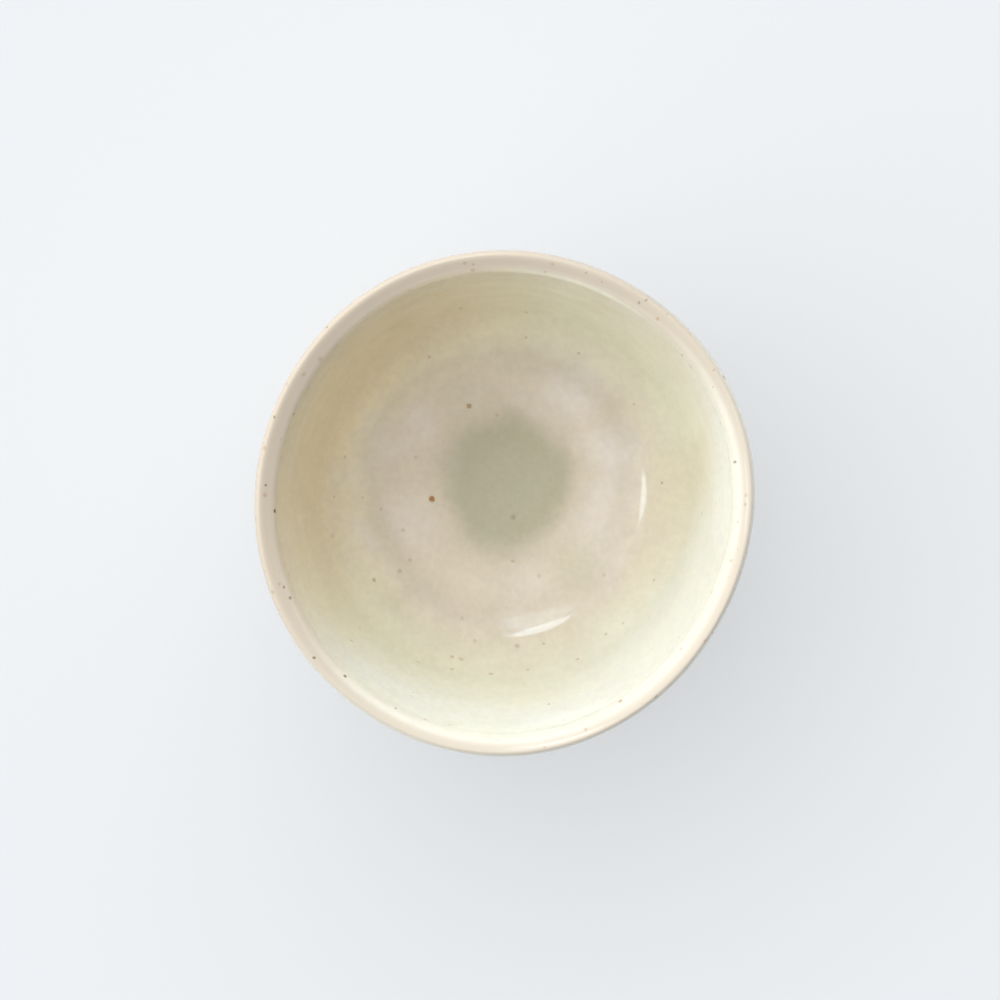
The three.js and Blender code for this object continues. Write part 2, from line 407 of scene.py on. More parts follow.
class CupFinish(PropertyGroup):
    """Colours of the clay and the glaze."""

    wall: tint("Wall glaze", "Thick cream glaze on the walls", (0.865, 0.838, 0.69))
    # Pale is laid on the wall that faces the light: partly the glaze's colour, partly painted light
    pale: tint("Pale glaze", "Nearly white glaze high on the lit wall", (0.905, 0.945, 0.9))
    # Lime is laid mostly on the lit side: partly the glaze's colour, partly painted light
    lime: tint("Lime glaze", "Greenish glaze low on the wall", (0.92, 0.94, 0.78))
    outside: tint("Outside glaze", "Cream glaze on the facets", (0.68, 0.63, 0.5))
    # Outside straw is laid by the inside's mask of painted shade
    outside_straw: tint("Outside straw", "Ochre clouds in the outside glaze", (0.66, 0.575, 0.42))
    floor: tint("Floor glaze", "Pinkish glaze on the floor", (0.678, 0.594, 0.505))
    pool: tint("Pooled glaze", "Grey-green glaze where it ran together", (0.447, 0.413, 0.32))
    pool_edge: tint("Pool edge", "Olive-brown glaze inside the pool's edge", (0.438, 0.398, 0.292))
    fringe: tint("Pool fringe", "Beige glaze round the pool", (0.565, 0.491, 0.39))
    thin: tint("Thin glaze", "Glaze on the lip and ridges that the clay shows through", (0.528, 0.45, 0.36))
    # Blush is also the colour of the painted soft reflections on the floor
    blush: tint("Blush", "Rosy clouds in the glaze", (0.74, 0.672, 0.64))
    olive: tint("Olive", "Olive clouds in the glaze", (0.58, 0.523, 0.405))
    # Straw is laid on the wall away from the light: partly the glaze's colour, partly painted shade
    straw: tint("Straw", "Ochre clouds in the glaze", (0.745, 0.612, 0.425))
    rust: tint("Rust", "Light iron specks", (0.35, 0.165, 0.04))
    iron: tint("Iron", "Dark iron specks", (0.1, 0.07, 0.04))
    clay: tint("Clay", "Bare fired stoneware", (0.6, 0.44, 0.29))
    clay_shade: tint("Clay shade", "Darker clouds in the bare clay", (0.46, 0.31, 0.19))
    table: tint("Table", "Plain pale floor under the cup", (0.605, 0.62, 0.64))
    backdrop: tint("Backdrop", "Pale colour that the floor and the backdrop show", (0.85, 0.865, 0.885))


class CupStage(PropertyGroup):
    """Camera and light."""

    camera_height: length("Camera height", "From the lip to the lens", 0.75)
    camera_back: length("Camera offset", "How far the camera stands towards the top of the picture", 0.0224)
    lens: FloatProperty(name="Lens", description="Focal length", default=155.0, unit="CAMERA")
    rim_across: plain("Rim across", "Pixel column of the rim's middle", 504.0)
    rim_down: plain("Rim down", "Pixel row of the rim's middle", 503.1)
    window_distance: length("Window distance", "From the cup to each window of light", 1.2)
    window_rise: lean("Window rise", "Elevation of both windows", 49)
    left_window: lean("Left window", "Direction of the window at the left", 181)
    left_roll: lean("Left roll", "Turn of the left window about its way to the cup", -40)
    left_width: length("Left width", "Width of the left window", 0.31)
    left_height: length("Left height", "Height of the left window", 0.19)
    left_power: lamp_power("Left power", "Power of the left window", 0.88)
    back_window: lean("Back window", "Direction of the window at the top", 105)
    back_roll: lean("Back roll", "Turn of the back window about its way to the cup", 33)
    back_width: length("Back width", "Width of the back window", 0.4)
    back_height: length("Back height", "Height of the back window", 0.26)
    back_power: lamp_power("Back power", "Power of the back window", 1.6)
    ceiling_way: lean("Ceiling direction", "Direction of the pale ceiling over the back window", 105)
    ceiling_rise: lean("Ceiling rise", "Elevation of the pale ceiling", 63)
    ceiling_width: length("Ceiling width", "Width of the pale ceiling", 0.27)
    ceiling_height: length("Ceiling height", "Height of the pale ceiling", 0.52)
    ceiling_power: lamp_power("Ceiling power", "Power of the ceiling", 0.8)
    gleam: tint("Gleam", "Colour of the windows and the ceiling", (0.72, 0.88, 1.0))
    table_lift: FloatProperty(
        name="Table lift", description="How far the table shows the backdrop", default=0.5, subtype="FACTOR"
    )
    sky: tint("Sky", "Colour of the soft light from all round", (0.97, 0.99, 1.0))
    sky_low: plain("Low sky", "Level of the soft light from all round", 0.2)
    sky_glow: plain("Sky glow", "Level of the light from the horizon", 1.5)
    sky_high: plain("High sky", "Level of the light from overhead", 0.64)
    sky_side: plain("Side sky", "Level of the wide light from one side", 3.1)
    side_way: lean("Side direction", "Direction of the wide light", 133.4)


# Lines that the forms are drawn from: across and up, in metres, with the clay on their right


def wall_lean(form):
    """How far the inside wall leans out so that it leaves the floor's corner without a kink."""
    out = form.lip_radius - form.lip_width - form.floor_radius
    rise = form.height - form.lip_fall - form.floor_height - form.corner_radius
    return math.acos(form.corner_radius / math.hypot(out, rise)) - math.atan2(rise, out)


def lip_inside(form):
    """Where the inside wall meets the lip."""
    return Vector((form.lip_radius - form.lip_width, form.height - form.lip_fall))


def lip_outside(form):
    """Where the outside meets the lip."""
    return Vector((form.lip_radius, form.height - form.lip_fall))


def between(start, end, steps):
    """Points from start to end, without the start."""
    return [start.lerp(end, step / steps) for step in range(1, steps + 1)]


def round_bend(middle, radius, start, end, steps):
    """Points along an arc."""
    turns = (start + (end - start) * step / steps for step in range(steps + 1))
    return [middle + radius * Vector((math.cos(turn), math.sin(turn))) for turn in turns]


def along_wall(angle):
    """Direction of a line that leans out by an angle on its way up."""
    return Vector((math.sin(angle), math.cos(angle)))


def inside_line(form):
    """Floor, corner and wall, from the axis to the lip."""
    slope = wall_lean(form)
    corner = Vector((form.floor_radius, form.floor_height + form.corner_radius))
    floor_edge = Vector((form.floor_radius, form.floor_height))
    line = [Vector((0.0, form.floor_height))]
    line += between(line[0], floor_edge, FLOOR_STEPS)
    turned = slope + form.corner_left
    line += round_bend(corner, form.corner_radius, -math.pi / 2, -turned, CORNER_STEPS)[1:]
    foot, top = line[-1], lip_inside(form)
    pull = along_wall(turned) * form.corner_radius * CORNER_PULL
    stand = along_wall(slope) * (top.y - foot.y) * WALL_STAND
    wall = interpolate_bezier(foot, foot + pull, top - stand, top, WALL_STEPS + 1)
    return line + [point.xy for point in wall[1:]]


def lip_line(form):
    """Over the lip, which falls gently inwards and turns quickly down outside."""
    start, end = lip_inside(form), lip_outside(form)
    crest = Vector((form.lip_radius - form.lip_crest, form.height))
    outward = end.x - crest.x
    edge = start + along_wall(wall_lean(form)) * (form.lip_fall - form.lip_rise)
    bevel = Vector((math.cos(form.lip_bevel), math.sin(form.lip_bevel)))
    top = edge + bevel * form.lip_rise * LIP_ROLL
    down = along_wall(wall_lean(form) - form.shoulder_upright) * form.lip_fall * EDGE_PULL
    pull = Vector((outward * CREST_PULL, 0.0))
    inner = interpolate_bezier(start, start.lerp(edge, LIP_ROLL), top.lerp(edge, LIP_ROLL), top, LIP_STEPS)
    over = interpolate_bezier(top, top + bevel * outward, crest - pull, crest, LIP_STEPS)
    outer = interpolate_bezier(crest, crest + pull, end + down, end, LIP_STEPS)
    return [point.xy for point in inner[1:] + over[1:] + outer[1:]]


def outside_line(form):
    """From the lip down to the base, in one curve."""
    lip = lip_outside(form)
    slope = wall_lean(form)
    heel = Vector((
        form.floor_radius + form.corner_radius * math.cos(slope) + form.heel_out,
        form.foot_height + form.heel_rise,
    ))
    drop = lip.y - heel.y - form.shoulder_rise
    upright = slope - form.shoulder_upright
    shoulder = lip - along_wall(upright) * (drop / math.cos(upright))
    base = Vector((form.foot_radius + form.base_step, form.foot_height + form.base_edge))
    return [point.xy for point in interpolate_bezier(lip, shoulder, heel, base, OUTSIDE_STEPS)[1:]]


def glazed_section(form):
    """The outline of the glaze from the axis to the base, and the two seams of the lip's thin glaze."""
    inside, lip, outside = inside_line(form), lip_line(form), outside_line(form)
    line = inside + lip + outside
    seam = form.height - form.lip_fall - form.lip_skirt
    first = max(index for index in range(len(inside)) if line[index].y < seam)
    last = min(index for index in range(len(inside) + len(lip), len(line)) if line[index].y < seam)
    return line, first, last


def sunk(line, depth):
    """The line moved into the clay by a depth."""
    sides = []
    for here, there in zip(line, line[1:]):
        way = (there - here).normalized()
        sides.append(Vector((way.y, -way.x)))
    deeper = []
    for point, one, other in zip(line, [sides[0]] + sides, sides + [sides[-1]]):
        deeper.append(point + (one + other) * depth / (1 + one.dot(other)))
    deeper[0].x = line[0].x
    return deeper


def swell(form, angle, height):
    """How far the squeezed form stands out or in at an angle and a height."""
    wave = sum(size * math.cos(lobes * (angle - at)) for lobes, size, at in LIP_SWELLS)
    return wave * (height / form.height) ** 2


def facet_planes(form, depth):
    """A point and a normal for each facet, sunk by a depth."""
    slope = wall_lean(form) + form.facet_taper
    edge = form.height - form.lip_fall
    planes = []

    # The sines of whole squares stray without a pattern, and are the same on each run
    for number in range(form.facet_count):
        angle = math.tau * number / form.facet_count + form.facet_wander * math.sin(number**2)
        stray = form.facet_uneven * math.sin((number + form.facet_count) ** 2)
        reach = form.lip_radius + form.facet_stand + swell(form, angle, edge) + stray
        outwards = Vector((math.cos(angle), math.sin(angle), 0.0))
        normal = outwards * math.cos(slope) - Vector((0.0, 0.0, math.sin(slope)))
        point = outwards * reach + Vector((0.0, 0.0, edge))
        planes.append((point - normal * depth, normal))
    return planes


# Modelling steps


def nothing_selected():
    """Leaves every object deselected, in object mode."""
    if bpy.context.object and bpy.context.object.mode != "OBJECT":
        bpy.ops.object.mode_set(mode="OBJECT")
    bpy.ops.object.select_all(action="DESELECT")


def alone(piece):
    """Selects one piece and makes it the active one."""
    nothing_selected()
    piece.select_set(True)
    bpy.context.view_layer.objects.active = piece


def edit(piece):
    """Opens a piece in edit mode with all of it selected."""
    alone(piece)
    bpy.ops.object.mode_set(mode="EDIT")
    bpy.ops.mesh.select_mode(type="VERT")
    bpy.ops.mesh.select_all(action="SELECT")


def pick(piece, wanted):
    """Selects the points of a piece in edit mode that a test wants, and counts them."""
    bpy.ops.mesh.select_all(action="DESELECT")
    mesh = bmesh.from_edit_mesh(piece.data)
    picked = [point for point in mesh.verts if wanted(point.co)]
    for point in picked:
        point.select_set(True)
    mesh.select_flush_mode()
    bmesh.update_edit_mesh(piece.data)
    return len(picked)


def done(piece):
    """Closes edit mode."""
    bpy.ops.object.mode_set(mode="OBJECT")
    return piece


def modified(piece, kind, **settings):
    """Adds a modifier to a piece, sets it and applies it."""
    alone(piece)
    bpy.ops.object.modifier_add(type=kind)
    modifier = piece.modifiers[-1]
    for name, value in settings.items():
        setattr(modifier, name, value)
    bpy.ops.object.modifier_apply(modifier=modifier.name)
    return piece


def drawn(name, line):
    """A line of edges, extruded point by point from a plane that is merged to one point."""
    nothing_selected()
    bpy.ops.mesh.primitive_plane_add(size=START_SIZE)
    piece = bpy.context.object
    piece.name = name
    edit(piece)
    bpy.ops.mesh.merge(type="CENTER")
    bpy.ops.transform.translate(value=(line[0].x, 0.0, line[0].y))
    for here, there in zip(line, line[1:]):
        step = (there.x - here.x, 0.0, there.y - here.y)
        bpy.ops.mesh.extrude_region_move(TRANSFORM_OT_translate={"value": step})
    return done(piece)


def thrown(name, line, turn_steps=TURN_STEPS):
    """A form turned round the axis from its outline."""
    piece = drawn(name, line)
    modified(
        piece, "SCREW", angle=math.tau, steps=turn_steps, render_steps=turn_steps,
        use_merge_vertices=True, merge_threshold=SAME_PLACE, use_smooth_shade=True,
    )
    edit(piece)
    bpy.ops.mesh.remove_doubles(threshold=SAME_PLACE)
    return done(piece)


def squeezed(piece, form):
    """Squeezes a piece out of round with a lattice, as the hand does."""
    nothing_selected()
    bpy.ops.object.add(type="LATTICE", location=(0.0, 0.0, form.height / 2))
    cage = bpy.context.object
    width = CAGE_WIDTH * form.lip_radius
    cage.scale = (width, width, CAGE_HEIGHT * form.height)
    cage.data.points_u, cage.data.points_v, cage.data.points_w = CAGE_POINTS
    for axis in "uvw":
        setattr(cage.data, "interpolation_type_" + axis, "KEY_CATMULL_ROM")
    bpy.context.view_layer.update()
    back = cage.matrix_world.inverted()
    for point in cage.data.points:
        place = cage.matrix_world @ point.co
        grown = 1 + swell(form, math.atan2(place.y, place.x), place.z) / form.lip_radius
        point.co_deform = back @ Vector((place.x * grown, place.y * grown, place.z))
    modified(piece, "LATTICE", object=cage)
    bpy.data.objects.remove(cage)
    return piece


def faceted(piece, form, depth=0.0):
    """Presses the points beyond each facet's plane flat, then softens the ridges."""
    edit(piece)
    for point, normal in facet_planes(form, depth) * FACET_PASSES:
        across = Vector((0.0, 0.0, 1.0)).cross(normal).normalized()
        axes = Matrix((normal, across, normal.cross(across))).transposed()

        def beyond(place):
            return (place - point).dot(normal) > 0 and place.xy.length > form.floor_radius

        if pick(piece, beyond):
            bpy.ops.transform.resize(
                value=(0.0, 1.0, 1.0), constraint_axis=(True, False, False), center_override=point,
                orient_type="GLOBAL", orient_matrix=axes, orient_matrix_type="GLOBAL",
            )
    low, high = form.foot_height + BASE_KEPT, form.height - SEAM_KEPT
    rim = form.lip_radius - form.lip_width
    span = high - form.floor_height

    def outside(place):
        wall = form.floor_radius + (rim - form.floor_radius) * (place.z - form.floor_height) / span
        return low < place.z < high and place.xy.length > wall + form.coat * SKIN_COATS

    pick(piece, outside)
    bpy.ops.mesh.vertices_smooth(factor=RIDGE_SMOOTHING, repeat=RIDGE_ROUNDS)
    return done(piece)


def dished(piece, form):
    """Presses the dish that the glaze pooled in into a floor."""
    middle = pool_middle()
    edit(piece)
    mesh = bmesh.from_edit_mesh(piece.data)
    floor = [point.co for point in mesh.verts if point.co.xy.length < form.floor_radius]

    def stray(place):
        return (place.xy - middle).length + abs(place.z - form.floor_height)

    nearest = min(floor, key=stray).copy()
    pick(piece, lambda place: (place - nearest).length < SAME_PLACE)
    bpy.ops.transform.translate(
        value=(0.0, 0.0, -form.pool_depth), use_proportional_edit=True, proportional_edit_falloff="SMOOTH",
        proportional_size=form.pool_radius, use_proportional_connected=True,
    )
    return done(piece)


def pool_middle():
    """Middle of the pooled glaze, seen from above."""
    return ((POOL_BOX[0] + POOL_BOX[1]) / 2).xy


def uneven(piece):
    """Gives a piece the slight swells that hands leave."""
    swells = bpy.data.textures.get("hand_swells") or bpy.data.textures.new("hand_swells", "CLOUDS")
    swells.noise_scale = UNEVEN_SCALE
    swells.noise_depth = UNEVEN_DETAIL
    return modified(piece, "DISPLACE", texture=swells, texture_coords="LOCAL", strength=UNEVEN_DEPTH)


def coated(piece, form):
    """Gives a skin of glaze its thickness, inwards."""
    return modified(
        piece, "SOLIDIFY", thickness=form.coat, offset=-1.0, use_even_offset=True, use_quality_normals=True
    )


def smooth(piece):
    """Shades a piece smooth except at its edges."""
    alone(piece)
    bpy.ops.object.shade_smooth_by_angle(angle=SHARP_ANGLE)
    return piece


def finished(piece, node, material):
    """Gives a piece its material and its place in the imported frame."""
    piece.data.materials.clear()
    piece.data.materials.append(material)
    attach(piece, BODY)
    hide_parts(node)


def marked(piece, name, marks):
    """Stores a value for each point of a piece."""
    layer = piece.data.attributes.new(name, "FLOAT", "POINT")
    layer.data.foreach_set("value", marks)


def mark_ridges(piece, form):
    """Stores how near each point lies to a ridge between two facets."""
    planes = facet_planes(form, 0.0)
    marks = []
    for point in piece.data.vertices:
        stands = sorted((point.co - place).dot(normal) for place, normal in planes)
        closeness = max(0.0, 1 - (stands[-1] - stands[-2]) / RIDGE_WIDTH)
        cut = min(1.0, max(0.0, (stands[-1] + RIDGE_FAR) / (RIDGE_FAR - RIDGE_NEAR)))
        marks.append(closeness * cut)
    marked(piece, "ridge", marks)


def mark_lip(piece, form):
    """Stores how far each point lies over the lip, from 0 at its inside to 1 at its outside."""
    marks = []
    for point in piece.data.vertices:
        grown = 1 + swell(form, math.atan2(point.co.y, point.co.x), point.co.z) / form.lip_radius
        inwards = form.lip_radius - point.co.xy.length / grown
        marks.append(1 - inwards / form.lip_width)
    marked(piece, "over_lip", marks)


# Places on the cup that pixels of the photograph show


def towards(direction, rise):
    """A direction from its angle round the cup and its elevation."""
    flat = math.cos(rise)
    return Vector((flat * math.cos(direction), flat * math.sin(direction), math.sin(rise)))


def camera_place(form, stage):
    """Where the lens is."""
    return Vector((0.0, stage.camera_back, form.height + stage.camera_height))


def camera_aim(form, stage):
    """Point at the lip's height that is in the middle of the picture."""
    pixels_per_metre = stage.lens / SENSOR_WIDTH * FRAME_PIXELS / stage.camera_height
    middle = FRAME_PIXELS / 2
    return Vector((
        (middle - stage.rim_across) / pixels_per_metre,
        (stage.rim_down - middle) / pixels_per_metre,
        form.height,
    ))


def camera_turn(form, stage):
    """Turn of the camera, with the top of the picture towards +Y."""
    back = (camera_place(form, stage) - camera_aim(form, stage)).normalized()
    right = Vector((0.0, 1.0, 0.0)).cross(back).normalized()
    return Matrix((right, back.cross(right), back)).transposed()


def seen_place(form, stage, across, down):
    """Point of the inside that a pixel shows."""
    eye, turn = camera_place(form, stage), camera_turn(form, stage)
    half = SENSOR_WIDTH / 2 / stage.lens
    middle = FRAME_PIXELS / 2
    ray = turn @ Vector(((across - middle) / middle * half, (middle - down) / middle * half, -1.0))
    line, _, last = glazed_section(form)
    best = None
    for here, there in zip(line[:last], line[1:last]):
        for step in range(BEND_STEPS):
            point = here.lerp(there, step / BEND_STEPS)
            hit = eye + ray * ((point.y - eye.z) / ray.z)
            grown = 1 + swell(form, math.atan2(hit.y, hit.x), point.y) / form.lip_radius
            miss = abs(hit.xy.length - point.x * grown)
            if best is None or miss < best[0]:
                best = (miss, hit)
    return best[1]


# Node helpers


def add(tree, kind, sockets=None, **settings):
    """Adds a node, sets it, and links or sets its sockets."""
    node = tree.nodes.new(kind)
    for name, value in settings.items():
        setattr(node, name, value)
    for name, value in (sockets or {}).items():
        if isinstance(value, NodeSocket):
            tree.links.new(value, node.inputs[name])
        else:
            node.inputs[name].default_value = value
    return node


def maths(tree, operation, first, second=0.0):
    """Arithmetic on two values."""
    return add(tree, "ShaderNodeMath", {0: first, 1: second}, operation=operation).outputs[0]


def arrows(tree, operation, first, second=(0.0, 0.0, 0.0)):
    """Arithmetic on two vectors."""
    return add(tree, "ShaderNodeVectorMath", {0: first, 1: second}, operation=operation).outputs


def ramp(tree, value, start, end, low=0.0, high=1.0):
    """A soft step of a value from low to high."""
    sockets = {"Value": value, "From Min": start, "From Max": end, "To Min": low, "To Max": high}
    return add(tree, "ShaderNodeMapRange", sockets, interpolation_type="SMOOTHSTEP").outputs["Result"]


def blend(tree, share, first, second):
    """A mix of two colours."""
    sockets = {"Factor": share, MIX_FIRST: first, MIX_SECOND: second}
    return add(tree, "ShaderNodeMix", sockets, data_type="RGBA").outputs[MIX_RESULT]


def clouds(tree, place, size, detail=2.0, roughness=0.5):
    """Noise with clouds of a size in metres: a value and a colour."""
    sockets = {"Vector": place, "Scale": 1 / size, "Detail": detail, "Roughness": roughness}
    return add(tree, "ShaderNodeTexNoise", sockets).outputs


def cloudy(tree, place, size, start, end, low=0.0, high=1.0, detail=2.0, roughness=0.5):
    """A soft step of noise from low to high."""
    return ramp(tree, clouds(tree, place, size, detail, roughness)["Fac"], start, end, low, high)


def flat_length(tree, place):
    """Length of a vector seen from above."""
    return arrows(tree, "LENGTH", arrows(tree, "MULTIPLY", place, (1.0, 1.0, 0.0))["Vector"])["Value"]


def way_out(tree, place, direction):
    """How far a place lies out in a direction round the cup."""
    return arrows(tree, "DOT_PRODUCT", place, towards(direction, 0.0))["Value"]


def full(colour):
    """A colour with its alpha."""
    return (*colour, 1.0)


def new_group(name, inputs, outputs):
    """An empty node group with named sockets, and its two ends."""
    tree = bpy.data.node_groups.new(name, "ShaderNodeTree")
    for socket, kind in inputs.items():
        tree.interface.new_socket(socket, in_out="INPUT", socket_type="NodeSocket" + kind)
    for socket, kind in outputs.items():
        tree.interface.new_socket(socket, in_out="OUTPUT", socket_type="NodeSocket" + kind)
    return tree, tree.nodes.new("NodeGroupInput").outputs, tree.nodes.new("NodeGroupOutput").inputs


def use_group(tree, group, sockets):
    """Places a node group in a material with its own values."""
    return add(tree, "ShaderNodeGroup", sockets, node_tree=group).outputs


# Effects that several materials share


def centred(tree, place, size, detail=2.0):
    """Noise as a vector about zero."""
    return arrows(tree, "SUBTRACT", clouds(tree, place, size, detail)["Color"], (0.5, 0.5, 0.5))["Vector"]


def moved(tree, place, drift, reach):
    """A place moved along a vector by a reach for each axis."""
    return arrows(tree, "ADD", place, arrows(tree, "MULTIPLY", drift, reach)["Vector"])["Vector"]


def spot_mask(tree, place, spots, core, form, stage):
    """Mask of spots, given by the pixels that show them, full in the core's share of their size."""
    mask = 0.0
    for across, down, size, strength in spots:
        away = arrows(tree, "DISTANCE", place, seen_place(form, stage, across, down))["Value"]
        mask = maths(tree, "MAXIMUM", mask, ramp(tree, away, size, size * core, 0.0, strength))
    return mask


def glaze_tint_group(form, stage):
    """Colour of the glaze where it pooled, on the floor and up the wall, and a mask of the dark side."""
    name = "glaze_tint"
    if name in bpy.data.node_groups:
        return bpy.data.node_groups[name]
    inputs = {"Place": "Vector", **dict.fromkeys(SHADES, "Color")}
    tree, given, out = new_group(name, inputs, {"Color": "Color", "Dark side": "Float"})
    runs = arrows(tree, "MULTIPLY", given["Place"], RUN_LENGTHS)["Vector"]
    strayed = given["Place"]
    for size, detail, reach in STRAYS:
        strayed = moved(tree, strayed, centred(tree, runs, size, detail), reach)
    floor_end, wall_start = form.floor_radius * WALL_START, form.lip_radius * WALL_FULL
    up_wall = ramp(tree, flat_length(tree, strayed), floor_end, wall_start)
    colour = wall_colour(tree, given, form, runs, strayed, up_wall)
    rosy_and_sheen = maths(tree, "MULTIPLY", cloudy(tree, runs, **ROSY_WASH), maths(tree, "SUBTRACT", 1.0, up_wall))
    # Painted soft reflections on the floor, laid in with the glaze's blush clouds
    rosy_and_sheen = maths(tree, "MAXIMUM", rosy_and_sheen, spot_mask(tree, strayed, ROSY_SHEEN_CLOUDS, CLOUD_CORE, form, stage))
    colour = blend(tree, rosy_and_sheen, colour, given["Blush"])
    olive = spot_mask(tree, strayed, OLIVE_CLOUDS, CLOUD_CORE, form, stage)
    groove, ridges = throwing_marks(tree, runs, strayed)
    colour = blend(tree, maths(tree, "MAXIMUM", olive, groove), colour, given["Olive"])
    colour = pool_colour(tree, given, form, runs, strayed, colour)
    # The ridges' lighter tone is a painted highlight
    tone = maths(tree, "MULTIPLY", cloudy(tree, runs, **MOTTLE), ridges)
    # Painted shade high on the wall that faces the light
    tone = maths(tree, "MULTIPLY", tone, painted_glare_shade(tree, strayed))
    sockets = {0: colour, "Scale": tone}
    toned = add(tree, "ShaderNodeVectorMath", sockets, operation="SCALE").outputs["Vector"]
    tree.links.new(toned, out["Color"])
    # The side away from the light, which sets the lip's painted shade
    dark_side = ramp(tree, way_out(tree, strayed, THIN_WAY), *THIN_SIDE)
    tree.links.new(dark_side, out["Dark side"])
    return tree


def wall_colour(tree, given, form, runs, strayed, up_wall):
    """Colour of the glaze up the wall: pale on the lit side, straw on the other and lime between, partly
    painted light and shade.
    """
    height = add(tree, "ShaderNodeSeparateXYZ", {0: strayed}).outputs["Z"]
    over = way_out(tree, strayed, STRAW_WAY)
    across = way_out(tree, strayed, PALE_WAY)
    raised = maths(tree, "MULTIPLY", maths(tree, "SUBTRACT", height, form.height * PALE_LEVEL), PALE_LEAN)
    lit = ramp(tree, maths(tree, "ADD", across, raised), *PALE_SIDE)
    colour = blend(tree, up_wall, given["Floor"], given["Wall"])
    high = ramp(tree, height, form.floor_height + PALE_START, form.height * PALE_FULL)
    # Pale high on the wall that faces the light: partly painted light
    colour = blend(tree, maths(tree, "MULTIPLY", high, lit), colour, given["Pale"])
    low = maths(tree, "MULTIPLY", ramp(tree, height, *LIME_RISE), ramp(tree, height, *LIME_FADE))
    low = maths(tree, "MULTIPLY", low, ramp(tree, over, *LIME_SIDE))
    low = maths(tree, "MULTIPLY", low, ramp(tree, over, *LIME_END))
    # Lime low on the lit side and under the lip there: partly painted light
    top = maths(tree, "MULTIPLY", ramp(tree, height, *LIME_TOP), lit)
    colour = blend(tree, maths(tree, "MAXIMUM", low, top), colour, given["Lime"])
    # Straw on the wall away from the light, and straw clouds only there: partly painted shade
    side = ramp(tree, over, *STRAW_SIDE, 0.0, STRAW_SHARE)
    straw = maths(tree, "MULTIPLY", side, ramp(tree, flat_length(tree, strayed), *STRAW_OUT))
    unlit_wall = maths(tree, "MULTIPLY", up_wall, maths(tree, "SUBTRACT", 1.0, lit))
    stray_straw_and_shade = maths(tree, "MULTIPLY", cloudy(tree, runs, **STRAW_CLOUDS), unlit_wall)
    return blend(tree, maths(tree, "MAXIMUM", straw, stray_straw_and_shade), colour, given["Straw"])


def pool_colour(tree, given, form, runs, strayed, colour):
    """A colour with the pooled glaze and its fringe laid over it."""
    middle = pool_middle() + Vector(POOL_STRAY)
    from_pool = arrows(tree, "SUBTRACT", strayed, (middle.x, middle.y, form.floor_height))["Vector"]
    reach = arrows(tree, "LENGTH", arrows(tree, "MULTIPLY", from_pool, POOL_OVAL)["Vector"])["Value"]
    fringe = ramp(tree, reach, form.pool_radius * FRINGE_START, form.pool_radius, 0.0, FRINGE_SHARE)
    colour = blend(tree, fringe, colour, given["Fringe"])
    core = ramp(tree, reach, *(form.pool_radius * share for share in POOL_BORDER))
    near_edge = ramp(tree, reach, *(form.pool_radius * share for share in POOL_RIM))
    patches = maths(tree, "MULTIPLY", near_edge, cloudy(tree, runs, **POOL_PATCHES))
    return blend(tree, core, colour, blend(tree, patches, given["Pool"], given["Pool edge"]))


def painted_glare_shade(tree, strayed):
    """Painted shade that keeps the glaze from passing white high on the wall that faces the light."""
    height = add(tree, "ShaderNodeSeparateXYZ", {0: strayed}).outputs["Z"]
    facing = ramp(tree, way_out(tree, strayed, GLARE_WAY), *GLARE_SIDE)
    return maths(tree, "SUBTRACT", 1.0, maths(tree, "MULTIPLY", facing, ramp(tree, height, *GLARE_RISE)))


def throwing_marks(tree, runs, strayed):
    """Share of olive in a finger's groove round the floor, partly painted shade, and painted highlights on
    its ridges.
    """
    reach = flat_length(tree, arrows(tree, "SUBTRACT", strayed, RING_MIDDLE)["Vector"])
    broken = clouds(tree, runs, ARC_CLOUD)["Fac"]
    arcs = []
    for widths, share, start, end in THROWING_MARKS:
        radius = GROOVE_RADIUS + widths * GROOVE_WIDTH
        away = maths(tree, "ABSOLUTE", maths(tree, "SUBTRACT", reach, radius))
        kept = ramp(tree, broken, start, end, 0.0, share)
        arcs.append(maths(tree, "MULTIPLY", ramp(tree, away, GROOVE_WIDTH, 0.0), kept))
    groove, outer, inner = arcs
    return groove, maths(tree, "ADD", 1.0, maths(tree, "ADD", outer, inner))


def iron_specks_group():
    """Fine iron specks scattered at random, as a mask."""
    name = "iron_specks"
    if name in bpy.data.node_groups:
        return bpy.data.node_groups[name]
    inputs = {"Place": "Vector", "Spacing": "Float", "Size": "Float", "Share": "Float"}
    tree, given, out = new_group(name, inputs, {"Mask": "Float"})
    scale = maths(tree, "DIVIDE", 1.0, given["Spacing"])
    cells = add(tree, "ShaderNodeTexVoronoi", {"Vector": given["Place"], "Scale": scale}).outputs
    chance = add(tree, "ShaderNodeSeparateColor", {0: cells["Color"]}).outputs
    width = maths(tree, "MULTIPLY", maths(tree, "DIVIDE", given["Size"], given["Spacing"]), chance["Green"])
    spot = ramp(tree, cells["Distance"], width, maths(tree, "MULTIPLY", width, SPOT_CORE))
    kept = maths(tree, "LESS_THAN", chance["Red"], given["Share"])
    tree.links.new(maths(tree, "MULTIPLY", spot, kept), out["Mask"])
    return tree


def iron_spots_group(form, stage):
    """The larger iron spots that show inside the cup, light and dark, as two masks."""
    name = "iron_spots"
    if name in bpy.data.node_groups:
        return bpy.data.node_groups[name]
    tree, given, out = new_group(name, {"Place": "Vector"}, {"Rust": "Float", "Iron": "Float"})
    ragged = moved(tree, given["Place"], centred(tree, given["Place"], RAGGED_CLOUD), RAGGED_REACH)
    tree.links.new(spot_mask(tree, ragged, RUST_SPOTS, SPOT_CORE, form, stage), out["Rust"])
    tree.links.new(spot_mask(tree, ragged, DARK_SPOTS, SPOT_CORE, form, stage), out["Iron"])
    return tree


